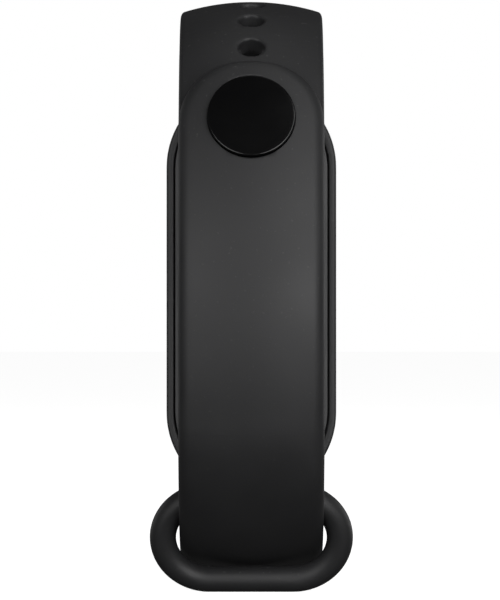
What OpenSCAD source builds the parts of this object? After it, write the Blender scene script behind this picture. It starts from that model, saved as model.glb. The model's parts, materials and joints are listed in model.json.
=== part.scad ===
// Fitness tracker band, closed as if round a wrist: a soft strap that carries a slide-in tracker pod.
// The origin is the middle of the wrist opening. X runs across the strap, Y from the clasp at the
// front (negative) to the pod at the rear (positive), and Z is up. All sizes are in millimetres.

/* [Strap] */
// Width of both straps
strap_w = 16; // [13:0.5:20]
// Thickness of a strap along its middle
strap_t = 2.2; // [1.7:0.1:3]
// How far the outer face falls from its middle to its edges
strap_crown = 1.25; // [0.8:0.05:1.6]
// How much thinner a strap is at its edges than along its middle
edge_thinning = 0.45; // [0.3:0.05:0.6]
// Rounding of the long edges
edge_r = 1.1; // [1:0.05:1.3]
// Gap between the stud strap and the hole strap under it
lap_gap = 0.1; // [0.05:0.05:0.3]

/* [Loop] */
// Depth of the wrist opening, from the hole strap to the pod cradle
wrist_depth = 46; // [38:1:50]
// Height of the front arc's centre above the middle of the pod
front_z = -0.9; // [-3:0.1:3]
// Outer radius of the hole strap over the front
front_r = 50; // [42:1:60]
// Outer radius of the hole strap above the stud
shoulder_r = 26.4; // [22:0.2:32]
// Outer radius of the hole strap over the top
crown_r = 20; // [17:0.2:24]
// Outer radius of the hole strap at its lower end
tail_r = 15; // [13:0.2:20]
// Outer radius of the stud strap where it turns under the wrist
turn_r = 23; // [19:0.2:28]
// Slope of the hole strap at the stud, in degrees
stud_slope = 22.4; // [16:0.2:28]
// Slope at which the shoulder runs into the crown, in degrees
crown_slope = 46; // [38:1:54]
// Slope below the middle at which the lower bends begin, in degrees
turn_slope = 15.5; // [10:0.5:18]
// Slope below the middle at which the hole strap ends, in degrees
tail_slope = 62; // [52:1:66]

/* [Adjusting holes] */
// Bore of each adjusting hole
hole_d = 2.9; // [2.7:0.05:3.5]
// Distance from hole to hole along the strap
hole_pitch = 5.33; // [4.4:0.01:6]
// Holes between the stud and the keeper ring
holes_below = 7; // [3:1:7]
// Holes between the stud and the pod
holes_above = 5; // [1:1:6]

/* [Keeper ring] */
// Thickness of the ring's round bar
ring_d = 2.9; // [2.2:0.1:3.4]
// Radius of the ring's round ends, along the middle of the bar
ring_r = 5.2; // [4.8:0.1:7]
// Room between the ring and each edge of the strap in it
ring_side_gap = 0.4; // [0.2:0.05:1]
// Room between the ring's lower bar and the strap in it
ring_gap = 0.15; // [0.1:0.05:1]
// How far the ring's middle plane lies below the hole strap's outer face
ring_sink = 1.6; // [1.4:0.05:2.6]
// Distance from the end of the hole strap to the middle of the ring's upper bar
ring_root = 0.8; // [0.4:0.1:1.2]

/* [Cradle] */
// Thickness of the cradle's long side walls
rim_t = 0.9; // [0.7:0.1:2]
// Thickness of the cradle's end walls
end_wall_t = 1.1; // [0.8:0.1:2]
// Depth of the cradle, from the wrist to its rim
cradle_depth = 9.2; // [8:0.1:12]
// Thickness of the lip that stops the pod
lip_t = 1; // [0.7:0.1:1.6]
// How far the lip reaches in over the pod's shoulder
lip_reach = 0.8; // [0.5:0.1:1.2]
// Slope at which the strap's roots flare from the cradle's rim, in degrees
root_flare = 30; // [24:1:45]

/* [Pod] */
// Length of the pod
pod_l = 47; // [39:0.5:57]
// Width of the pod
pod_w = 18.15; // [16:0.05:24]
// How far the pod stands out of the cradle towards the wrist
pod_proud = 0.4; // [0:0.1:1]
// Thickness of the pod's floor
floor_t = 1; // [0.8:0.1:1.4]
// Gap between the pod and the cradle all round
pod_clear = 0.1; // [0.05:0.05:0.3]
// Height of the sensor bump on the wrist side
bump_h = 1.1; // [0.8:0.1:1.6]
// Length of the sensor bump
bump_l = 26; // [18:1:34]
// Width of the sensor bump
bump_w = 12.5; // [11.5:0.5:14]
// Thickness of the pod's shell around its upper opening
shell_t = 1; // [0.8:0.1:1.4]
// Height of the glass above the cradle's rim, at its edge
glass_edge_rise = 0.4; // [0.2:0.1:1]
// Thickness of the cover glass at its edge
glass_edge_t = 0.7; // [0.5:0.1:1]
// How far the cover glass is crowned
glass_crown = 1.3; // [0.6:0.1:1.8]

/* [Stud] */
// Distance from the stud to the strap's rounded end
tip_reach = 7; // [6:0.1:8]
// Diameter of the cap
cap_d = 9.6; // [8:0.1:12]
// Thickness of the cap
cap_t = 1.3; // [1:0.1:1.6]
// How far the cap stands out of the strap
cap_proud = 0.5; // [0.2:0.1:0.7]
// Diameter of the cap's hollow shank
shank_d = 2.8; // [2.4:0.1:3.2]
// Diameter of the post's neck, which stands in the adjusting hole
neck_d = 1.8; // [1.4:0.1:2]
// Diameter of the post's head
head_d = 2.2; // [1.9:0.1:2.4]
// Diameter of the post's flange inside the strap
flange_d = 4.6; // [4:0.1:6]

/* [Flex lines] */
// Slopes of the three lines where the strap's free end flexes, from the ring to the stud
flex_slopes = [-29, -8, 7.6];
// Gap between the pieces at each of these lines
flex_gap = 0.02; // [0.01:0.01:0.05]

/* [Electronics] */
// Size of the battery cell: width, thickness, length
battery_size = [12.4, 3.5, 23];
// Thickness of the main circuit board
board_t = 0.6; // [0.4:0.1:1]
// Diameter of the vibration motor
motor_d = 8; // [6:0.5:8]
// Thickness of the vibration motor
motor_t = 2.6; // [2.4:0.1:3]
// Diameter of the sensor window
window_d = 9.6; // [8:0.2:10.8]
// Size of the display panel: width, thickness, length
display_size = [12.6, 0.9, 33];

/* [Hidden] */
$fn = 128;
eps = 0.01;

// A point at radius r and angle a, as [y, z]: 0 is towards the pod, 90 up and 180 the clasp side
function polar(r, a) = r * [cos(a), sin(a)];
// Centre of an arc of radius r2 that runs on from an arc of centre c and radius r1 at angle a
function next_centre(c, r1, r2, a) = c + polar(r1 - r2, a);
// Angle at which an arc of length s turns
function turned(r, s) = s / r * 180 / PI;
// Radius of a circle with a given half chord and rise
function rise_r(half, rise) = (half * half + rise * rise) / (2 * rise);
function angle_of(v) = atan2(v.y, v.x);

// Where one arc of a strap runs on into the next, it leads on inside it by this length, a hair smaller.
// The strap's roots keep the same hair clear of its inner face.
lead_l = 0.4;
lead_step = 0.01;
function lead(r) = turned(r, lead_l);

// Cross-section of a strap
crown_face_r = rise_r(strap_w / 2, strap_crown);
hollow_face_r = rise_r(strap_w / 2, strap_crown - edge_thinning);
lap = strap_t + lap_gap;

// Arcs of the hole strap, from the front up over the top and down to its tail
stud_a = 180 - stud_slope;
crown_a = 180 - crown_slope;
turn_a = 180 + turn_slope;
tail_a = 180 + tail_slope;
front_c = [-wrist_depth / 2 - strap_t + front_r, front_z];
shoulder_c = next_centre(front_c, front_r, shoulder_r, stud_a);
crown_c = next_centre(shoulder_c, shoulder_r, crown_r, crown_a);
tail_c = next_centre(front_c, front_r, tail_r, turn_a);
// The stud strap follows the front outside the hole strap, then turns in through the ring
over_r = front_r + lap;
turn_c = next_centre(front_c, over_r, turn_r, turn_a);

// The cradle stands at the back of the wrist opening
seat_y = wrist_depth / 2;
rim_y = seat_y + cradle_depth;
cradle_l = pod_l + 2 * (pod_clear + end_wall_t);
cradle_w = pod_w + 2 * (pod_clear + rim_t);
// Each strap's last arc runs from its highest or lowest point to the wrist side of the cradle
top_y = crown_c.x;
top_z = crown_c.y + crown_r;
low_y = turn_c.x;
low_z = turn_r - turn_c.y;
function back_turn(y, z) = 2 * atan((z - strap_t - cradle_l / 2) / (seat_y - y));
function back_r(y, z) = (seat_y - y) / sin(back_turn(y, z)) + strap_t;
top_back_r = back_r(top_y, top_z);
top_back_c = [top_y, top_z - top_back_r];
low_back_r = back_r(low_y, low_z);
low_back_c = [low_y, low_back_r - low_z];
// The outer face leaves that arc in a straight line to the cradle's rim, from this angle
function root_line(c, r) = [rim_y, cradle_l / 2] - c;
function root_a(c, r) = angle_of(root_line(c, r)) + acos(r / norm(root_line(c, r)));
top_root_a = root_a(top_back_c, top_back_r);
low_root_a = root_a([low_back_c.x, -low_back_c.y], low_back_r);
// Each strap's own section runs on through its root to this angle, within the cradle's end wall
function seat_a(c, r) = acos((seat_y + end_wall_t / 2 - c.x) / (r - strap_t));

// Places along the hole strap, measured from the stud: up over the top if positive
shoulder_len = shoulder_r * (stud_a - crown_a) * PI / 180;
crown_len = crown_r * (crown_a - 90) * PI / 180;
below_len = front_r * (turn_a - stud_a) * PI / 180;
top_len = shoulder_len + crown_len;
function place(s) =
    s > top_len ? [top_back_c, top_back_r, 90 - turned(top_back_r, s - top_len)]
    : s > shoulder_len ? [crown_c, crown_r, crown_a - turned(crown_r, s - shoulder_len)]
    : s > 0 ? [shoulder_c, shoulder_r, stud_a - turned(shoulder_r, s)]
    : s > -below_len ? [front_c, front_r, stud_a - turned(front_r, s)]
    : [tail_c, tail_r, turn_a + turned(tail_r, -s - below_len)];

// The ring leaves the hole strap's end and its lower bar rests outside the stud strap
ring_half = strap_w / 2 + ring_side_gap + ring_d / 2;
ring_reach = ring_root + 2 * ring_r;
ring_start = tail_c + polar(tail_r - ring_sink, tail_a);
ring_bar_r = turn_r + ring_gap + ring_d / 2;
to_turn = turn_c - ring_start;
ring_angle = angle_of(to_turn)
    - acos((ring_reach ^ 2 + norm(to_turn) ^ 2 - ring_bar_r ^ 2) / (2 * ring_reach * norm(to_turn)));

// Depths inside the pod, from the wrist outwards
pod_y = seat_y - pod_proud;
bump_y = pod_y - bump_h;
shoulder_y = rim_y - lip_t - pod_clear;
glass_y = rim_y + glass_edge_rise - glass_edge_t;
neck_l = pod_l - 2 * (lip_reach + pod_clear);
neck_w = pod_w - 2 * (lip_reach + pod_clear);
room_l = neck_l - 2 * shell_t;
room_w = neck_w - 2 * shell_t;
floor_y = pod_y + floor_t;
part_gap = 0.1;
led_board_t = 0.6;
frame_y = floor_y + led_board_t + part_gap;
battery_y = frame_y + 0.2;
board_y = battery_y + battery_size.y + 0.3;
chip_y = board_y + board_t;
touch_t = 0.25;
touch_y = glass_y - touch_t;
display_y = touch_y - display_size.y;

// Places inside the pod, along its length
battery_z = 1;
contact_z = room_l / 2 - 4.6;
contact_x = 1.9;
contact_d = 1.8;
magnet_d = 2.4;
magnet_x = 4.8;
motor_z = motor_d / 2 + 0.6 - room_l / 2;
sensor_z = 0;
shield_z = 6;
socket_h = 0.8;
motor_base_t = 0.2;
motor_wall = 0.2;
motor_magnet_t = 0.7;
rotor_h = 0.9;
rotor_t = 1.1;
shaft_d = 0.8;
shaft_clear = 0.04;
window_t = 0.8;
led_well_d = window_d - 1.2;
led_t = 0.6;
led_z = 2.7;
fit = 0.05;

// Stud, measured outwards from the hole strap's outer face
cap_base = lap + cap_proud - cap_t;
flange_t = 0.4;
head_t = 0.6;
pin_d = 1.4;
// The tip's round outline starts this far along it, a little narrower than the strap
tip_start = 0.4;
tip_trim = 0.1;

soft_black = [0.13, 0.13, 0.14];
gloss_black = [0.04, 0.04, 0.05];
shell_grey = [0.18, 0.18, 0.2];
board_green = [0.05, 0.3, 0.18];
chip_grey = [0.2, 0.2, 0.22];
metal = [0.72, 0.73, 0.75];
gold = [0.85, 0.68, 0.3];

// Puts children on an arc: their z points outwards, their y back towards smaller angles
module on_arc(c, r, a) {
    translate([0, c.x, c.y]) rotate([a - 90, 0, 0]) translate([0, 0, r]) children();
}

// A flat shape seen from the clasp side, standing from depth y and d deep towards the pod
module layer(y, d) {
    translate([0, y + d, 0]) rotate([90, 0, 0]) linear_extrude(d) children();
}

// A round-ended shape, l long along z and w wide
module pill(l, w) {
    square([w, l - w], center = true);
    for (side = [-1, 1]) translate([0, side * (l - w) / 2]) circle(d = w);
}

// A block w wide, d deep and l long, centred on x and z and standing from depth y
module chip(w, d, l, x, y, z) {
    translate([x - w / 2, y, z - l / 2]) cube([w, d, l]);
}

// Strap section for a sweep whose outer face has radius r: x is outwards, y across the strap.
// A step makes it that much smaller all round.
module strap_section(r, step) {
    half = strap_w / 2 - edge_r;
    outer_fall = crown_face_r - sqrt(crown_face_r ^ 2 - half ^ 2);
    inner_fall = hollow_face_r - sqrt(hollow_face_r ^ 2 - half ^ 2);
    edge_x = r - (outer_fall + strap_t + inner_fall) / 2;
    intersection() {
        difference() {
            translate([r - crown_face_r, 0]) circle(r = crown_face_r - step);
            translate([r - strap_t - hollow_face_r, 0]) circle(r = hollow_face_r + step);
        }
        union() {
            translate([r - 2 * strap_t, -half]) square([3 * strap_t, 2 * half]);
            for (side = [-1, 1]) translate([edge_x, side * half]) circle(r = edge_r - step);
        }
    }
}

// A stretch of strap along an arc, from angle a0 to a larger angle a1
module bend(c, r, a0, a1, step = 0) {
    translate([0, c.x, c.y]) rotate([90, 0, 90])
        rotate_extrude(angle = a1 - a0, start = a0) strap_section(r, step);
}

// The thick root that joins a strap to the cradle's upper end, rounded down to the cradle's outline
module strap_root(c, r, a) {
    length = norm([rim_y, cradle_l / 2] - c - polar(r, a));
    bend(c, r, seat_a(c, r), a);
    intersection() {
        on_arc(c, r, a) translate([0, -strap_t, -crown_face_r]) rotate([-90, 0, 0])
            cylinder(r = crown_face_r, h = length + cradle_depth + strap_t);
        translate([0, rim_y, (cradle_l - cradle_w) / 2]) rotate([90, 0, 0])
            cylinder(r1 = cradle_w / 2, r2 = cradle_w / 2 + 2 * length * tan(root_flare), h = 2 * length);
        rotate([90, 0, 90]) translate([0, 0, -strap_w / 2]) linear_extrude(strap_w) difference() {
            polygon([
                c + polar(r - 2 * strap_t, a - lead(r)),
                c + polar(r + strap_t, a - lead(r)),
                [rim_y, cradle_l / 2 + strap_t],
                [rim_y, cradle_l / 2 - strap_w / 2],
                [seat_y, cradle_l / 2 - strap_w / 2]
            ]);
            translate(c) circle(r = r - strap_t + lead_step);
        }
    }
}

module pod_cradle() {
    color(soft_black) difference() {
        union() {
            layer(seat_y, cradle_depth) pill(cradle_l, cradle_w);
            strap_root(top_back_c, top_back_r, top_root_a);
            mirror([0, 0, 1]) strap_root([low_back_c.x, -low_back_c.y], low_back_r, low_root_a);
        }
        layer(seat_y - 2 * strap_t, cradle_depth - lip_t + 2 * strap_t)
            pill(pod_l + 2 * pod_clear, pod_w + 2 * pod_clear);
        layer(seat_y, cradle_depth + 1) pill(neck_l + 2 * pod_clear, neck_w + 2 * pod_clear);
    }
}

module hole_strap() {
    color(soft_black) difference() {
        union() {
            bend(top_back_c, top_back_r, top_root_a, 90);
            bend(crown_c, crown_r, 90 - lead(crown_r), crown_a + lead(crown_r), lead_step);
            bend(shoulder_c, shoulder_r, crown_a, stud_a);
            bend(front_c, front_r, stud_a - lead(front_r), turn_a + lead(front_r), lead_step);
            bend(tail_c, tail_r, turn_a, tail_a);
        }
        for (i = [-holes_below:holes_above]) {
            p = place(i * hole_pitch);
            on_arc(p[0], p[1], p[2]) rotate(45) translate([0, 0, -2 * strap_t])
                cylinder(d = hole_d, h = 3 * strap_t);
        }
    }
}

module keeper_ring() {
    straight = ring_half - ring_r;
    color(soft_black) difference() {
        translate([0, ring_start.x, ring_start.y]) rotate([ring_angle, 0, 0]) {
            for (y = [ring_root, ring_reach])
                translate([-straight, y, 0]) rotate([0, 90, 0]) cylinder(d = ring_d, h = 2 * straight);
            for (side = [-1, 1])
                translate([side * straight, ring_root + ring_r, 0])
                    rotate_extrude(angle = 180, start = -90 * side) translate([ring_r, 0]) circle(d = ring_d);
        }
        on_arc(tail_c, tail_r - ring_sink, tail_a)
            translate([-strap_w, 0, -ring_d]) cube([2 * strap_w, 2 * ring_d, 2 * ring_d]);
    }
}

// The stud strap's lower arm, from the cradle down and through the ring
module stud_strap() {
    color(soft_black) {
        bend(low_back_c, low_back_r, 270, 360 - low_root_a);
        bend(turn_c, turn_r, 180 - flex_slopes[0], 270 + lead(turn_r), lead_step);
    }
}

module strap_end_lower() {
    color(soft_black) {
        bend(turn_c, turn_r, turn_a, 180 - flex_slopes[0] - turned(turn_r, flex_gap));
        bend(front_c, over_r, 180 - flex_slopes[1], turn_a + lead(over_r), lead_step);
    }
}

module strap_end_middle() {
    color(soft_black)
        bend(front_c, over_r, 180 - flex_slopes[2], 180 - flex_slopes[1] - turned(over_r, flex_gap));
}

// The strap's free end, cut to its round outline beyond the stud
module tip_blank() {
    outline_y = tip_reach - strap_w / 2;
    difference() {
        bend(front_c, over_r, stud_a - turned(over_r, strap_w), 180 - flex_slopes[2] - turned(over_r, flex_gap));
        difference() {
            at_stud(-2 * strap_t) translate([-strap_w, outline_y + tip_start, 0])
                cube([2 * strap_w, 2 * strap_w, 6 * strap_t]);
            at_stud(-3 * strap_t) translate([0, outline_y, 0]) rotate(-90)
                cylinder(r = strap_w / 2 - tip_trim, h = 8 * strap_t);
        }
    }
}

// The tip, with the stud's flange recess, shank hole and cap recess
module strap_end_tip() {
    color(soft_black) difference() {
        tip_blank();
        at_stud(0) rotate(45) rotate_extrude() {
            translate([0, -strap_t]) square([flange_d / 2 + fit, strap_t + lap_gap + flange_t + fit]);
            translate([0, -strap_t]) square([shank_d / 2 + fit, 3 * strap_t]);
            translate([0, cap_base]) square([cap_d / 2 + fit, 2 * cap_t]);
        }
    }
}

// Puts children on the stud's axis, h outwards from the hole strap's outer face
module at_stud(h) {
    on_arc(front_c, front_r + h, stud_a) children();
}

module stud_cap() {
    chamfer = 0.35;
    color(gloss_black) difference() {
        union() {
            at_stud(cap_base) cylinder(d = cap_d, h = cap_t - chamfer);
            at_stud(cap_base + cap_t - chamfer) cylinder(d1 = cap_d, d2 = cap_d - 2 * chamfer, h = chamfer);
            at_stud(lap_gap + flange_t + fit) cylinder(d = shank_d, h = cap_base - lap_gap - flange_t);
        }
        at_stud(0) cylinder(d = pin_d + fit, h = cap_base + 0.2);
    }
}

module stud_post() {
    color(gloss_black) {
        at_stud(lap_gap) cylinder(d = flange_d, h = flange_t);
        at_stud(lap_gap + flange_t) cylinder(d = pin_d, h = cap_base - lap_gap - flange_t);
        at_stud(head_t - strap_t) cylinder(d = neck_d, h = strap_t - head_t + lap_gap);
        at_stud(-strap_t) cylinder(d1 = neck_d, d2 = head_d, h = head_t / 2);
        at_stud(head_t / 2 - strap_t) cylinder(d1 = head_d, d2 = neck_d, h = head_t / 2);
    }
}

module pod_shell() {
    color(shell_grey) difference() {
        union() {
            layer(pod_y, shoulder_y - pod_y) pill(pod_l, pod_w);
            layer(shoulder_y, glass_y - shoulder_y) pill(neck_l, neck_w);
            layer(bump_y, bump_h) pill(bump_l, bump_w);
        }
        layer(floor_y, glass_y) pill(room_l, room_w);
        layer(bump_y - 1, window_t + 1) translate([0, sensor_z]) circle(d = window_d + 2 * fit);
        layer(bump_y, bump_h + 2 * floor_t) translate([0, sensor_z]) circle(d = led_well_d);
        for (side = [-1, 1])
            layer(pod_y - 1, floor_t + 2) translate([side * contact_x, contact_z]) circle(d = contact_d + 2 * fit);
    }
}

module cover_glass() {
    crown_r = rise_r(neck_w / 2, glass_crown);
    apex_y = glass_y + glass_edge_t + glass_crown;
    color(gloss_black) intersection() {
        layer(glass_y, glass_edge_t + glass_crown) pill(neck_l, neck_w);
        translate([0, apex_y - crown_r, -pod_l]) cylinder(r = crown_r, h = 2 * pod_l);
    }
}

module touch_layer() {
    color(chip_grey) layer(touch_y, touch_t) pill(room_l - 1, room_w - 0.6);
}

module display_panel() {
    color("black") chip(display_size.x, display_size.y, display_size.z, 0, display_y, 0);
}

// A ribbon that leaves the panel's lower end and folds down to its socket on the board
module display_flex() {
    ribbon_t = 0.15;
    ribbon_w = 4.6;
    stub = 0.5;
    foot = 3;
    drop_z = display_size.z / 2 + stub;
    upper_y = display_y + 0.3;
    lower_y = chip_y + socket_h + part_gap;
    color([0.75, 0.45, 0.1]) {
        chip(ribbon_w, ribbon_t, stub + ribbon_t, 0, upper_y, -drop_z + (stub - ribbon_t) / 2);
        chip(ribbon_w, upper_y - lower_y, ribbon_t, 0, lower_y, -drop_z - ribbon_t / 2);
        chip(ribbon_w, ribbon_t, foot, 0, lower_y, foot / 2 - ribbon_t - drop_z);
    }
}

// Tray that holds the battery and carries the board, with wells for the motor and the springs
module inner_frame() {
    color(chip_grey) difference() {
        layer(frame_y, board_y - frame_y - part_gap) pill(room_l - 2 * part_gap, room_w - 2 * part_gap);
        chip(battery_size.x + 0.2, 2 * battery_size.y, battery_size.z + 3.2, 0, battery_y - part_gap, battery_z + 0.8);
        layer(frame_y - 1, 2 * battery_size.y) translate([0, motor_z]) circle(d = motor_d + 2 * part_gap);
        for (side = [-1, 1])
            layer(frame_y - 1, 2 * battery_size.y) {
                translate([side * contact_x, contact_z]) circle(d = contact_d + 0.6);
                translate([side * magnet_x, contact_z]) circle(d = magnet_d + 0.2);
            }
    }
}

module battery_cell() {
    color([0.62, 0.64, 0.68])
        chip(battery_size.x, battery_size.y, battery_size.z, 0, battery_y, battery_z);
}

module battery_protection_board() {
    color(board_green) chip(8, 2, 0.8, 0, battery_y + 0.6, battery_z + battery_size.z / 2 + 0.9);
}

module main_board() {
    color(board_green) layer(board_y, board_t) pill(room_l - 3 * part_gap, room_w - 3 * part_gap);
}

module processor() {
    color(chip_grey) chip(4.2, 0.7, 4.2, -2.8, chip_y, shield_z);
}

module memory_chip() {
    color(chip_grey) chip(3, 0.6, 4, 2.2, chip_y, shield_z);
}

module power_chip() {
    color(chip_grey) chip(3, 0.6, 3, -3, chip_y, -8.6);
}

module radio_antenna() {
    color([0.85, 0.85, 0.8]) chip(7, 0.8, 1.6, 0, chip_y, room_l / 2 - 2.2);
}

module motion_sensor() {
    color(chip_grey) chip(2.5, 0.8, 2.5, 3.4, chip_y, -4);
}

// Rows of small capacitors and resistors
module board_passives() {
    color([0.7, 0.6, 0.45]) for (row = [0:3], side = [-1, 1])
        chip(0.6, 0.4, 1, side * 5.6, chip_y, -9 + 1.8 * row);
}

// Folded sheet cover over the processor and the memory
module shield_can() {
    wall = 0.15;
    width = 10;
    height = 1.1;
    length = 7.4;
    x = -0.7;
    color(metal) difference() {
        chip(width, height, length, x, chip_y, shield_z);
        chip(width - 2 * wall, height - wall, length - 2 * wall, x, chip_y - eps, shield_z);
    }
}

module display_socket() {
    color([0.9, 0.88, 0.8]) chip(5.4, socket_h, 1.8, 0, chip_y, -14.6);
}

module sensor_window() {
    color([0.09, 0.03, 0.03]) layer(bump_y, window_t) translate([0, sensor_z]) circle(d = window_d);
}

module sensor_board() {
    color(board_green) layer(floor_y, led_board_t) translate([0, sensor_z]) circle(d = window_d + 2);
}

module sensor_leds() {
    color([0.3, 0.85, 0.4]) for (side = [-1, 1])
        chip(1.2, led_t, 1.6, 0, floor_y - led_t, sensor_z + side * led_z);
}

module photodiode() {
    color([0.15, 0.15, 0.3]) chip(2.4, led_t, 2, 0, floor_y - led_t, sensor_z);
}

// Black moulding that keeps each lamp's light out of the sensor
module light_barrier() {
    y0 = bump_y + window_t;
    color([0.06, 0.06, 0.06]) difference() {
        layer(y0, floor_y - y0) translate([0, sensor_z]) circle(d = led_well_d - 2 * fit);
        chip(2.8, 4, 2.4, 0, y0 - 1, sensor_z);
        for (side = [-1, 1]) chip(1.6, 4, 2, 0, y0 - 1, sensor_z + side * led_z);
    }
}

module charge_contacts() {
    color(gold) for (side = [-1, 1])
        layer(pod_y, floor_t) translate([side * contact_x, contact_z]) circle(d = contact_d);
}

// Sprung pins between the contacts and the main board
module contact_springs() {
    foot_d = 1.6;
    foot_h = 0.3;
    barrel_h = 0.9;
    color(gold) for (side = [-1, 1]) translate([side * contact_x, 0, contact_z]) rotate([-90, 0, 0]) {
        translate([0, 0, floor_y]) cylinder(d = foot_d, h = foot_h);
        translate([0, 0, floor_y + foot_h]) cylinder(d = 0.8, h = board_y - floor_y - foot_h - barrel_h);
        translate([0, 0, board_y - barrel_h]) cylinder(d = foot_d, h = barrel_h);
    }
}

module charger_magnets() {
    color(metal) for (side = [-1, 1])
        layer(floor_y, 1.6) translate([side * magnet_x, contact_z]) circle(d = magnet_d);
}

// Puts children on the motor's axis, their z pointing from the wrist to the screen
module at_motor() {
    translate([0, floor_y, motor_z]) rotate([-90, 0, 0]) children();
}

module motor_base() {
    color(metal) at_motor() cylinder(d = motor_d, h = motor_base_t);
}

module motor_magnet() {
    color(chip_grey) at_motor() translate([0, 0, motor_base_t]) difference() {
        cylinder(d = motor_d - 2.4, h = motor_magnet_t);
        translate([0, 0, -1]) cylinder(d = 2, h = 3);
    }
}

module motor_shaft() {
    color(metal) at_motor() translate([0, 0, motor_base_t])
        cylinder(d = shaft_d, h = motor_t - motor_base_t - motor_wall);
}

module motor_case() {
    color(metal) at_motor() translate([0, 0, motor_base_t]) difference() {
        cylinder(d = motor_d, h = motor_t - motor_base_t);
        translate([0, 0, -1]) cylinder(d = motor_d - 2 * motor_wall, h = motor_t - motor_base_t - motor_wall + 1);
    }
}

// Flat coils in the light half of the rotor
module motor_coils() {
    color([0.75, 0.4, 0.2]) at_motor() translate([0, 0, motor_base_t + rotor_h]) for (side = [-1, 1])
        translate([side * 1.35, -1.55, 0]) difference() {
            cylinder(d = 2.2, h = 0.5);
            translate([0, 0, -1]) cylinder(d = 0.8, h = 3);
        }
}

// Heavy half-disc on the rotor's hub, which shakes the pod as it spins
module motor_weight() {
    swing_r = motor_d / 2 - motor_wall - 0.15;
    color(metal) at_motor() translate([0, 0, motor_base_t + rotor_h]) difference() {
        union() {
            intersection() {
                cylinder(r = swing_r, h = rotor_t);
                translate([-motor_d, 0.3, -1]) cube([2 * motor_d, motor_d, 4]);
            }
            cylinder(d = 1.8, h = rotor_t);
            translate([-swing_r * 0.75, -0.35, 0.5]) cube([swing_r * 1.5, 0.8, 0.3]);
        }
        translate([0, 0, -1]) cylinder(d = shaft_d + 2 * shaft_clear, h = 4);
    }
}

pod_cradle();
hole_strap();
keeper_ring();
stud_strap();
strap_end_lower();
strap_end_middle();
strap_end_tip();
stud_cap();
stud_post();
pod_shell();
cover_glass();
touch_layer();
display_panel();
display_flex();
inner_frame();
battery_cell();
battery_protection_board();
main_board();
processor();
memory_chip();
power_chip();
radio_antenna();
motion_sensor();
board_passives();
shield_can();
display_socket();
sensor_window();
sensor_board();
sensor_leds();
photodiode();
light_barrier();
charge_contacts();
contact_springs();
charger_magnets();
motor_base();
motor_magnet();
motor_shaft();
motor_case();
motor_coils();
motor_weight();
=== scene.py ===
import json
import math
from math import cos, pi, radians, sin, sqrt

import bmesh
import bpy
from mathutils import Matrix, Vector


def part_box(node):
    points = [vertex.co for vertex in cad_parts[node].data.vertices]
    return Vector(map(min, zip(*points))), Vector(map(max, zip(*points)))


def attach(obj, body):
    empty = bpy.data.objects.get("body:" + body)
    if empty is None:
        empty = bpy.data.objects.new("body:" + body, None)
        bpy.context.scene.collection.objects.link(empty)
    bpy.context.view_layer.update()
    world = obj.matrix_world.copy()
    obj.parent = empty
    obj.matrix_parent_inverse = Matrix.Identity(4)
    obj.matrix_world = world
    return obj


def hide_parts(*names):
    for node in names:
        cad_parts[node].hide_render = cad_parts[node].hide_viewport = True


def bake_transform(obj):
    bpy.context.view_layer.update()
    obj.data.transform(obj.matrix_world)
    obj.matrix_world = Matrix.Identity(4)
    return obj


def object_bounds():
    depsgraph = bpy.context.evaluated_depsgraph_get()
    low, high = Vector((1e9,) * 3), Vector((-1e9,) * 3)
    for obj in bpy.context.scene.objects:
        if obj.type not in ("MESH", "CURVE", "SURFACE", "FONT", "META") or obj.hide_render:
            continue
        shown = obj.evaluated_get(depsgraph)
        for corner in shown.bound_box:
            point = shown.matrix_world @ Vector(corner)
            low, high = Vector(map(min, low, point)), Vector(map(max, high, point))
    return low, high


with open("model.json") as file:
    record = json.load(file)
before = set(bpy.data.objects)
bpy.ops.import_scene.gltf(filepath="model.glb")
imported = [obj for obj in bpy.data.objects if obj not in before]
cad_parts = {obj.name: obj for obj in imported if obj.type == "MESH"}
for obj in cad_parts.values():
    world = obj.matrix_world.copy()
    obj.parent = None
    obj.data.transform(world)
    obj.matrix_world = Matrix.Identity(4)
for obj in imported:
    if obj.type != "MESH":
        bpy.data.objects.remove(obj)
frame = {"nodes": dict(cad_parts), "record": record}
cad_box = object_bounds()
scene = bpy.context.scene
nodes = frame["nodes"]

# --- Camera, studio and floor ---
# The band is seen square-on from its clasp side, through a long lens a little over half a metre away,
# against plain white. Two large soft boxes stand beside the camera, a small one higher up shades the stud's
# cap, and faint ones light the top and the edges.
camera_distance = 0.5275
camera = bpy.data.objects.new("camera", bpy.data.cameras.new("camera"))
camera.location = (0, -camera_distance, 0)
camera.rotation_euler = (radians(90), 0, 0)
camera.data.lens = 277.5
camera.data.shift_x = -0.0023
camera.data.shift_y = -0.0167
camera.data.clip_start = 0.01
scene.collection.objects.link(camera)
scene.camera = camera
scene.view_settings.view_transform = "Standard"


def soft_box(name, direction, distance, size, power):
    """A square area light that stands in the given direction and faces the band."""
    light = bpy.data.lights.new(name, "AREA")
    light.size = size
    light.energy = power
    box = bpy.data.objects.new(name, light)
    box.location = Vector(direction).normalized() * distance
    box.rotation_euler = box.location.to_track_quat("Z", "Y").to_euler()
    scene.collection.objects.link(box)


soft_box("key_light", (0.5, -0.85, 0.1), 0.6, 0.42, 2.3)
soft_box("fill_light", (-0.5, -0.85, 0.05), 0.7, 0.5, 2.3)
soft_box("cap_light", (0.42, -0.6, 0.6), 0.6, 0.2, 0.45)
soft_box("top_light", (0.1, 0.0, 1), 0.6, 0.3, 0.2)
soft_box("rim_light_right", (0.8, 0.6, 0.1), 0.6, 0.3, 0.5)
soft_box("rim_light_left", (-0.8, 0.6, 0.1), 0.6, 0.3, 0.3)

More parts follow.
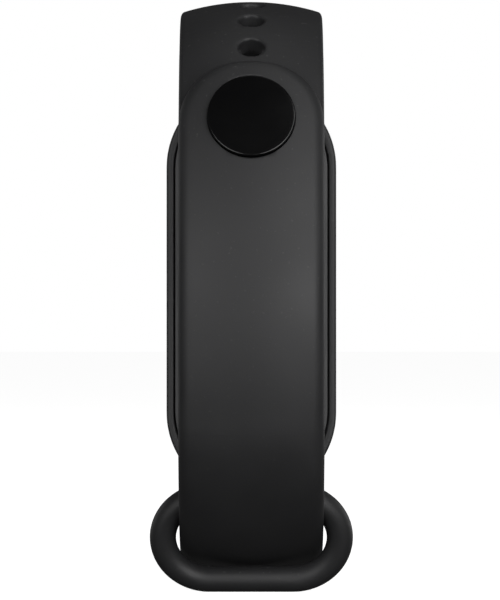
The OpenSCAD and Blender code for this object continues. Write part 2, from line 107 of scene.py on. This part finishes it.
world = bpy.data.worlds.new("studio")
scene.world = world
world.use_nodes = True
nt = world.node_tree
backdrop = nt.nodes["Background"]
backdrop.inputs["Color"].default_value = (1, 1, 1, 1)
room = nt.nodes.new("ShaderNodeBackground")
room.inputs["Color"].default_value = (1, 1, 1, 1)
room.inputs["Strength"].default_value = 0.05
path = nt.nodes.new("ShaderNodeLightPath")
either = nt.nodes.new("ShaderNodeMixShader")
nt.links.new(path.outputs["Is Camera Ray"], either.inputs["Fac"])
nt.links.new(room.outputs["Background"], either.inputs[1])
nt.links.new(backdrop.outputs["Background"], either.inputs[2])
nt.links.new(either.outputs["Shader"], nt.nodes["World Output"].inputs["Surface"])

floor_half = 2.0
floor_mesh = bpy.data.meshes.new("floor")
floor_mesh.from_pydata(
    [(x * floor_half, y * floor_half, cad_box[0][2]) for x, y in ((-1, -1), (1, -1), (1, 1), (-1, 1))],
    [],
    [(0, 1, 2, 3)],
)
floor = bpy.data.objects.new("floor", floor_mesh)
scene.collection.objects.link(floor)
floor.visible_diffuse = False
floor.visible_glossy = False
white_floor = bpy.data.materials.new("white_floor")
white_floor.use_nodes = True
nt = white_floor.node_tree
paper = nt.nodes["Principled BSDF"]
paper.inputs["Roughness"].default_value = 0.9
paper.inputs["Base Color"].default_value = (0.9, 0.9, 0.9, 1)
paper.inputs["Emission Color"].default_value = (1, 1, 1, 1)
paper.inputs["Emission Strength"].default_value = 0.92
floor_mesh.materials.append(white_floor)

# --- Soft rubber, and the effects it shares with other finishes ---
# The straps, the cradle and the ring are one soft thermoplastic rubber, black right through, moulded in a
# finely blasted tool. It has a faint mottle, a fine grain and a little settled dust.


def group(name, inputs, outputs):
    """An empty shader node group with its sockets, and its input and output nodes."""
    tree = bpy.data.node_groups.new(name, "ShaderNodeTree")
    for socket, value in inputs.items():
        tree.interface.new_socket(socket, in_out="INPUT", socket_type="NodeSocketFloat").default_value = value
    for socket, kind in outputs.items():
        tree.interface.new_socket(socket, in_out="OUTPUT", socket_type=kind)
    return tree, tree.nodes.new("NodeGroupInput"), tree.nodes.new("NodeGroupOutput")


def noise(tree, scale, detail, coordinates):
    """A noise node; scale is a number, or the socket it comes from."""
    n = tree.nodes.new("ShaderNodeTexNoise")
    n.inputs["Detail"].default_value = detail
    tree.links.new(coordinates, n.inputs["Vector"])
    if isinstance(scale, (int, float)):
        n.inputs["Scale"].default_value = scale
    else:
        tree.links.new(scale, n.inputs["Scale"])
    return n.outputs["Fac"]


def remap(tree, value, low, high, to_low, to_high):
    """Maps a value from one range to another; any limit may be a number or a socket."""
    n = tree.nodes.new("ShaderNodeMapRange")
    tree.links.new(value, n.inputs["Value"])
    for socket, limit in (("From Min", low), ("From Max", high), ("To Min", to_low), ("To Max", to_high)):
        if isinstance(limit, (int, float)):
            n.inputs[socket].default_value = limit
        else:
            tree.links.new(limit, n.inputs[socket])
    return n.outputs["Result"]


# Moulded grain: a bump from two sizes of noise, and slow changes of tone
grain, grain_in, grain_out = group(
    "moulded_grain",
    {"Scale": 4000.0, "Depth": 0.1, "Mottle": 120.0},
    {"Normal": "NodeSocketVector", "Tone": "NodeSocketFloat"},
)
place = grain.nodes.new("ShaderNodeTexCoord").outputs["Object"]
fine = noise(grain, grain_in.outputs["Scale"], 2.0, place)
bump = grain.nodes.new("ShaderNodeBump")
grain_height = 0.00002
bump.inputs["Distance"].default_value = grain_height
grain.links.new(fine, bump.inputs["Height"])
grain.links.new(grain_in.outputs["Depth"], bump.inputs["Strength"])
grain.links.new(bump.outputs["Normal"], grain_out.inputs["Normal"])
grain.links.new(noise(grain, grain_in.outputs["Mottle"], 3.0, place), grain_out.inputs["Tone"])

# Dust: sparse pale specks that lie mostly on faces that look up
dust, dust_in, dust_out = group(
    "settled_dust", {"Amount": 0.3, "Scale": 2600.0}, {"Mask": "NodeSocketFloat"}
)
place = dust.nodes.new("ShaderNodeTexCoord").outputs["Object"]
specks = remap(dust, noise(dust, dust_in.outputs["Scale"], 1.0, place), 0.7, 0.78, 0.0, 1.0)
facing = dust.nodes.new("ShaderNodeSeparateXYZ")
dust.links.new(dust.nodes.new("ShaderNodeNewGeometry").outputs["Normal"], facing.inputs["Vector"])
upward = remap(dust, facing.outputs["Z"], -0.3, 1.0, 0.15, 1.0)
both = dust.nodes.new("ShaderNodeMath")
both.operation = "MULTIPLY"
dust.links.new(specks, both.inputs[0])
dust.links.new(upward, both.inputs[1])
scaled = dust.nodes.new("ShaderNodeMath")
scaled.operation = "MULTIPLY"
dust.links.new(both.outputs["Value"], scaled.inputs[0])
dust.links.new(dust_in.outputs["Amount"], scaled.inputs[1])
dust.links.new(scaled.outputs["Value"], dust_out.inputs["Mask"])


def finish(name, dark, light, rough, grain_scale, grain_depth, dust_amount=0.0, mottle=120.0, **fixed):
    """A moulded, coated or plated finish: colour between two tones, roughness between two values, fine grain
    and dust. What is the same all over the surface is set on the shader's own sockets, by name."""
    made = bpy.data.materials.new(name)
    made.use_nodes = True
    tree = made.node_tree
    shader = tree.nodes["Principled BSDF"]
    for socket, value in fixed.items():
        shader.inputs[socket.replace("_", " ")].default_value = value
    skin = tree.nodes.new("ShaderNodeGroup")
    skin.node_tree = grain
    skin.inputs["Scale"].default_value = grain_scale
    skin.inputs["Depth"].default_value = grain_depth
    skin.inputs["Mottle"].default_value = mottle
    tone = tree.nodes.new("ShaderNodeMix")
    tone.data_type = "RGBA"
    tone.inputs["A"].default_value = (*dark, 1)
    tone.inputs["B"].default_value = (*light, 1)
    tree.links.new(skin.outputs["Tone"], tone.inputs["Factor"])
    colour = tone.outputs["Result"]
    if dust_amount:
        specked = tree.nodes.new("ShaderNodeGroup")
        specked.node_tree = dust
        specked.inputs["Amount"].default_value = dust_amount
        dusty = tree.nodes.new("ShaderNodeMix")
        dusty.data_type = "RGBA"
        dusty.inputs["B"].default_value = (0.35, 0.34, 0.33, 1)
        tree.links.new(specked.outputs["Mask"], dusty.inputs["Factor"])
        tree.links.new(colour, dusty.inputs["A"])
        colour = dusty.outputs["Result"]
    tree.links.new(colour, shader.inputs["Base Color"])
    tree.links.new(remap(tree, skin.outputs["Tone"], 0.3, 0.7, *rough), shader.inputs["Roughness"])
    tree.links.new(skin.outputs["Normal"], shader.inputs["Normal"])
    return made


soft_rubber = finish(
    "soft_rubber", (0.016, 0.016, 0.017), (0.026, 0.026, 0.027), (0.5, 0.58), 5200.0, 0.35, dust_amount=0.12
)

# --- Band moulding ---
# The cradle, the strap with the adjusting holes, the keeper ring and the root of the other strap come out
# of the mould as one piece, with soft fillets wherever two of them meet.
MM = 0.001


def to_metres(mesh):
    mesh.transform(Matrix.Scale(MM, 4))


def applied(obj, name):
    """A new object with the modifiers of obj applied, in place of obj."""
    depsgraph = bpy.context.evaluated_depsgraph_get()
    mesh = bpy.data.meshes.new_from_object(obj.evaluated_get(depsgraph))
    mesh.name = name
    made = bpy.data.objects.new(name, mesh)
    scene.collection.objects.link(made)
    bpy.data.objects.remove(obj)
    return made


def in_mm(node, name):
    """A welded copy of a CAD node's mesh, in millimetres."""
    bm = bmesh.new()
    bm.from_mesh(nodes[node].data)
    bmesh.ops.scale(bm, vec=(1 / MM, 1 / MM, 1 / MM), verts=bm.verts)
    bmesh.ops.remove_doubles(bm, verts=bm.verts, dist=0.0005)
    mesh = bpy.data.meshes.new(name)
    bm.to_mesh(mesh)
    bm.free()
    return mesh


def moulded(name, members, voxel, rounds, shrink, cut_y=None):
    """One smooth moulding from CAD nodes: their solids are joined and remeshed, and the corners relaxed.
    shrink is what the relaxing takes off round bars, and is given back. cut_y gives a node and the depth at
    which it is cut off."""
    bm = bmesh.new()
    for node in members:
        part = bmesh.new()
        part.from_mesh(in_mm(node, node))
        if cut_y and node == cut_y[0]:
            geometry = part.verts[:] + part.edges[:] + part.faces[:]
            cut = bmesh.ops.bisect_plane(
                part, geom=geometry, plane_co=(0, cut_y[1], 0), plane_no=(0, -1, 0), clear_outer=True
            )
            rim = [e for e in cut["geom_cut"] if isinstance(e, bmesh.types.BMEdge)]
            bmesh.ops.holes_fill(part, edges=rim)
        piece = bpy.data.meshes.new(node)
        part.to_mesh(piece)
        part.free()
        bm.from_mesh(piece)
    mesh = bpy.data.meshes.new(name)
    bm.to_mesh(mesh)
    bm.free()
    obj = bpy.data.objects.new(name, mesh)
    scene.collection.objects.link(obj)
    remesh = obj.modifiers.new("remesh", "REMESH")
    remesh.mode = "VOXEL"
    remesh.voxel_size = voxel
    relax = obj.modifiers.new("relax", "SMOOTH")
    relax.factor = 0.5
    relax.iterations = rounds
    regain = obj.modifiers.new("regain", "DISPLACE")
    regain.mid_level = 0.0
    regain.strength = shrink
    made = applied(obj, name)
    made.data.shade_smooth()
    to_metres(made.data)
    return made


arm_end = -5.0
band_members = ["pod_cradle", "hole_strap", "keeper_ring", "stud_strap"]
moulding = moulded(
    "band_moulding", band_members, voxel=0.22, rounds=5, shrink=0.035, cut_y=("stud_strap", arm_end)
)
moulding.data.materials.clear()
moulding.data.materials.append(soft_rubber)
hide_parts(*band_members)
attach(moulding, "band")

# --- Free end of the stud strap ---
# The other strap passes through the ring and lies over the first one. Its face is crowned and its edges are
# fully rounded. It bends where it is peeled off, and it is made in three lengths.
strap_half = 8.0
strap_t = 2.2
face_fall = 1.25
edge_thinning = 0.45
edge_round = 1.3
low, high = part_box("strap_end_middle")
front_r = 52.3
front_centre = (low.y / MM + front_r, -0.9)
turn_slope = 15.5
turn_r = 23.0
turn_centre = (
    front_centre[0] - (front_r - turn_r) * cos(radians(turn_slope)),
    front_centre[1] - (front_r - turn_r) * sin(radians(turn_slope)),
)
stud_slope = 22.4
tip_reach = 7.3
squareness = 0.88


def fall(x, total):
    """How far a face that falls by total at the strap's edge has fallen at x."""
    r = (strap_half**2 + total**2) / (2 * total)
    return r - sqrt(r * r - x * x)


def half_section(rows=14, edge_rows=9):
    """Distances from the strap's middle to its edge, closer together where the edge is rounded."""
    flat = [(strap_half - edge_round) * i / rows for i in range(rows)]
    return flat + [strap_half - edge_round * (1 - sin(pi / 2 * i / edge_rows)) for i in range(edge_rows + 1)]


def face_height(rho, x, side):
    """Height of the outer (+1) or inner (-1) face at x. How far it is rounded off goes by the distance rho."""
    outer = -fall(x, face_fall)
    inner = -strap_t - fall(x, face_fall - edge_thinning)
    into_edge = max(0.0, rho - (strap_half - edge_round)) / edge_round
    return (outer + inner) / 2 + side * (outer - inner) / 2 * sqrt(max(0.0, 1 - into_edge**2))


def along(slope):
    """Centre, radius and angle of the arc that the strap's outer face is on where it has this slope."""
    if slope < -turn_slope:
        return turn_centre, turn_r, radians(180 - slope)
    return front_centre, front_r, radians(180 - slope)


def on_strap(slope, x, height):
    """A point on the strap, height above its outer face."""
    centre, r, angle = along(slope)
    return (x, centre[0] + (r + height) * cos(angle), centre[1] + (r + height) * sin(angle))


def strap_length(name, slopes, tip=False):
    """A closed length of strap through stations at the given slopes, with a round end if it is the tip."""
    rho = half_section()
    ring = [(x, 1) for x in reversed(rho)] + [(-x, 1) for x in rho[1:]]
    ring = [(-x, s) for x, s in ring]
    ring += [(x, -1) for x, s in reversed(ring[1:-1])]
    verts = []
    faces = []
    for slope in slopes:
        verts += [on_strap(slope, x, face_height(abs(x), x, side)) for x, side in ring]
    n = len(ring)
    for i in range(len(slopes) - 1):
        for j in range(n):
            k = (j + 1) % n
            faces.append((i * n + j, i * n + k, (i + 1) * n + k, (i + 1) * n + j))
    faces.append(tuple(reversed(range(n))))
    last = (len(slopes) - 1) * n
    if not tip:
        faces.append(tuple(range(last, last + n)))
    else:
        # The half section at +x is carried round the tip to -x, about the middle of the last station
        index = {(round(x, 6), side): last + j for j, (x, side) in enumerate(ring)}
        turns = 40
        per_mm = math.degrees(1 / front_r)
        columns = []
        for k in range(turns + 1):
            theta = pi * k / turns
            column = {}
            for i, r in enumerate(rho):
                for side in (1, -1):
                    key = (i, side if i < len(rho) - 1 else 0)
                    if i == 0 or k in (0, turns):
                        x = round(r * (1 if k == 0 else -1), 6) if i else 0.0
                        x = x + 0.0
                        column[key] = index.get((x, side), index.get((x, 1)))
                    elif key not in column:
                        x = r * math.copysign(abs(cos(theta)) ** squareness, cos(theta))
                        s = r * sin(theta) ** squareness
                        column[key] = len(verts)
                        verts.append(on_strap(slopes[-1] + s * per_mm, x, face_height(r, x, side)))
            columns.append(column)
        edge = len(rho) - 1
        for a, b in zip(columns, columns[1:]):
            for side in (1, -1):
                for i in range(edge):
                    inner_key = (i, side)
                    outer_key = (i + 1, side if i + 1 < edge else 0)
                    quad = [a[inner_key], a[outer_key], b[outer_key], b[inner_key]]
                    quad = list(dict.fromkeys(quad))
                    faces.append(tuple(quad if side > 0 else reversed(quad)))
    mesh = bpy.data.meshes.new(name)
    mesh.from_pydata(verts, [], faces)
    obj = bpy.data.objects.new(name, mesh)
    scene.collection.objects.link(obj)
    return obj


def spread(first, last, step=0.6):
    """Slopes from first to last, at most one step of strap apart in millimetres."""
    length = abs(radians(last - first)) * max(along(first)[1], along(last)[1])
    count = max(2, math.ceil(length / step))
    return [first + (last - first) * i / count for i in range(count + 1)]


def outward_normals(mesh):
    bm = bmesh.new()
    bm.from_mesh(mesh)
    bmesh.ops.recalc_face_normals(bm, faces=bm.faces)
    bm.to_mesh(mesh)
    bm.free()


def smooth_with_edges(mesh, degrees):
    mesh.shade_smooth()
    mesh.set_sharp_from_angle(angle=radians(degrees))


# Each length runs between two slopes, and is listed with one joint, the body below it and the body above
centre_slope = stud_slope + math.degrees((tip_reach - strap_half) / front_r)
lengths = [
    ("stud_strap_lower", -92, -18, "lower_flex", -29, "band", "strap_lower", "strap_end_lower"),
    ("stud_strap_front", -18, 0, "middle_flex", -8, "strap_lower", "strap_middle", "strap_end_middle"),
    ("stud_strap_tip", 0, centre_slope, "clasp_peel", 7.6, "strap_middle", "strap_tip", "strap_end_tip"),
]
strap_pieces = {}
for name, first, last, *rest in lengths:
    stations = spread(first, last)
    if first < -turn_slope < last:
        stations = spread(first, -turn_slope) + spread(-turn_slope, last)[1:]
    piece = strap_length(name, stations, tip=name == "stud_strap_tip")
    outward_normals(piece.data)
    strap_pieces[name] = piece

# The cap's seat is a shallow round recess with a softened lip
stud_axis = Vector((0, -cos(radians(stud_slope)), sin(radians(stud_slope))))
stud_at = Vector(on_strap(stud_slope, 0, 0))
stud_turn = stud_axis.to_track_quat("Z", "Y").to_matrix().to_4x4()


def turned_solid(name, profile, segments=96):
    """A solid turned from (radius, height) points about the stud's axis; it closes on the axis at both ends."""
    verts = []
    for r, h in profile[1:-1]:
        verts += [(r * cos(2 * pi * i / segments), r * sin(2 * pi * i / segments), h) for i in range(segments)]
    rows = len(profile) - 2
    faces = []
    for row in range(rows - 1):
        for i in range(segments):
            j = (i + 1) % segments
            base, above = row * segments, (row + 1) * segments
            faces.append((base + i, base + j, above + j, above + i))
    verts += [(0, 0, profile[0][1]), (0, 0, profile[-1][1])]
    for i in range(segments):
        j = (i + 1) % segments
        faces.append((len(verts) - 2, j, i))
        faces.append((len(verts) - 1, (rows - 1) * segments + i, (rows - 1) * segments + j))
    mesh = bpy.data.meshes.new(name)
    mesh.from_pydata(verts, [], faces)
    mesh.transform(Matrix.Translation(stud_at) @ stud_turn)
    outward_normals(mesh)
    obj = bpy.data.objects.new(name, mesh)
    scene.collection.objects.link(obj)
    return obj


cap_r = 4.8
seat_r = cap_r + 0.06
seat_floor = -1.0
corner = 0.3
lip = 0.22
lip_height = -0.26
above_strap = 1.5
lip_steps = 5
lip_angles = [pi / 2 * i / lip_steps for i in range(lip_steps + 1)]
seat = turned_solid(
    "cap_seat",
    [(0, seat_floor), (seat_r - corner, seat_floor), (seat_r, seat_floor + 0.2)]
    + [(seat_r + lip * (1 - cos(a)), lip_height - lip + lip * sin(a)) for a in lip_angles]
    + [(seat_r + lip + 0.4, above_strap), (0, above_strap)],
)
tip_piece = strap_pieces["stud_strap_tip"]
cut = tip_piece.modifiers.new("seat", "BOOLEAN")
cut.object = seat
cut.operation = "DIFFERENCE"
cut.solver = "EXACT"
strap_pieces["stud_strap_tip"] = applied(tip_piece, "stud_strap_tip")
bpy.data.objects.remove(seat)

for name, first, last, joint, slope, below, above, node in lengths:
    piece = strap_pieces[name]
    smooth_with_edges(piece.data, 35)
    to_metres(piece.data)
    piece.data.materials.clear()
    piece.data.materials.append(soft_rubber)
    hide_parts(node)
    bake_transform(piece)

# --- Stud ---
# A coated metal cap with a polished, slightly domed face is snapped onto the post, whose flange sits inside
# the strap's tip and whose head holds in an adjusting hole.
gloss_black = finish(
    "gloss_black", (0.0008, 0.0008, 0.001), (0.0012, 0.0012, 0.0014), (0.18, 0.22), 900.0, 0.01,
    mottle=260.0,
)
cap_top = 0.12
cap_edge = 0.14
dome = 0.15
cap_base = -0.8
face_r = cap_r - cap_edge
edge_steps = 6
face_steps = 16
cap_profile = [(0, cap_base), (cap_r - 0.05, cap_base), (cap_r, cap_base + 0.05), (cap_r, cap_top - cap_edge)]
cap_profile += [
    (face_r + cap_edge * cos(a), cap_top - cap_edge + cap_edge * sin(a))
    for a in (pi / 2 * i / edge_steps for i in range(1, edge_steps + 1))
]
cap_profile += [
    (r, cap_top + dome * (1 - (r / face_r) ** 2))
    for r in (face_r * (1 - i / face_steps) for i in range(1, face_steps))
]
cap_profile += [(0, cap_top + dome)]
cap = turned_solid("stud_cap_face", cap_profile)
smooth_with_edges(cap.data, 40)
to_metres(cap.data)
cap.data.materials.append(gloss_black)
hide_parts("stud_cap")
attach(cap, "strap_tip")
for slot in nodes["stud_post"].material_slots:
    slot.material = gloss_black

# --- Pod shell ---
# The pod is a hard black moulding with a raised pad on the wrist side. Its long edges are eased.


def eased(node, name, width, segments=3):
    """A copy of a CAD node with its sharp edges rounded."""
    mesh = in_mm(node, name)
    obj = bpy.data.objects.new(name, mesh)
    scene.collection.objects.link(obj)
    flat = obj.modifiers.new("flat", "DECIMATE")
    flat.decimate_type = "DISSOLVE"
    flat.angle_limit = radians(0.5)
    ease = obj.modifiers.new("ease", "BEVEL")
    ease.width = width
    ease.segments = segments
    ease.limit_method = "ANGLE"
    ease.angle_limit = radians(40)
    made = applied(obj, name)
    smooth_with_edges(made.data, 35)
    to_metres(made.data)
    made.data.materials.clear()
    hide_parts(node)
    return made


hard_black = finish(
    "hard_black", (0.02, 0.02, 0.021), (0.03, 0.03, 0.031), (0.42, 0.5), 3600.0, 0.4, dust_amount=0.1
)
shell = eased("pod_shell", "pod_body", 0.25)
shell.data.materials.append(hard_black)
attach(shell, "pod")

# --- Cover glass ---
# A crowned glass, black from the ink on its back, covers the display. The screen is off.
dark_glass = finish(
    "dark_glass", (0.002, 0.002, 0.0025), (0.003, 0.003, 0.0035), (0.02, 0.05), 600.0, 0.0,
    mottle=180.0, Coat_Weight=1.0, Coat_Roughness=0.02,
)
glass = eased("cover_glass", "screen_glass", 0.3, segments=5)
glass.data.materials.append(dark_glass)
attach(glass, "pod")

# --- Inside the pod ---
# Boards, chips, battery, motor and the sensor's optics, each in its own finish.
finishes = {
    "window": finish(
        "red_window", (0.02, 0.003, 0.003), (0.03, 0.004, 0.004), (0.03, 0.06), 500.0, 0.0,
        Coat_Weight=1.0, Coat_Roughness=0.03,
    ),
    "display": finish(
        "display_laminate", (0.004, 0.004, 0.005), (0.007, 0.007, 0.008), (0.1, 0.16), 500.0, 0.0,
    ),
    "flex": finish("amber_film", (0.4, 0.17, 0.03), (0.5, 0.22, 0.04), (0.3, 0.38), 1500.0, 0.05),
    "inner": finish("inner_moulding", (0.02, 0.02, 0.022), (0.035, 0.035, 0.037), (0.5, 0.6), 3000.0, 0.3),
    "pouch": finish("foil_pouch", (0.5, 0.5, 0.53), (0.6, 0.6, 0.63), (0.3, 0.42), 700.0, 0.3, Metallic=0.9),
    "board": finish("solder_mask", (0.01, 0.09, 0.04), (0.016, 0.13, 0.06), (0.28, 0.36), 900.0, 0.1),
    "chip": finish("chip_package", (0.02, 0.02, 0.022), (0.032, 0.032, 0.034), (0.48, 0.6), 4200.0, 0.4),
    "ceramic": finish("ceramic", (0.5, 0.47, 0.38), (0.62, 0.6, 0.52), (0.35, 0.5), 2600.0, 0.2),
    "led": finish("lamp_package", (0.4, 0.6, 0.35), (0.55, 0.75, 0.45), (0.1, 0.2), 900.0, 0.02),
    "steel": finish(
        "pressed_steel", (0.5, 0.5, 0.52), (0.62, 0.62, 0.64), (0.25, 0.35), 1600.0, 0.2, Metallic=1.0,
    ),
    "magnet": finish(
        "nickel_plate", (0.55, 0.53, 0.5), (0.66, 0.64, 0.6), (0.15, 0.25), 1600.0, 0.1, Metallic=1.0,
    ),
    "gold": finish("gold_plate", (0.75, 0.5, 0.16), (0.85, 0.6, 0.22), (0.18, 0.28), 1600.0, 0.1, Metallic=1.0),
    "copper": finish(
        "enamelled_wire", (0.5, 0.2, 0.08), (0.65, 0.28, 0.12), (0.25, 0.35), 5200.0, 0.6, Metallic=0.8,
    ),
}
for entry in frame["record"]["subparts"]:
    made = finishes.get(entry["material_slot"])
    if made:
        for slot in nodes[entry["node"]].material_slots:
            slot.material = made
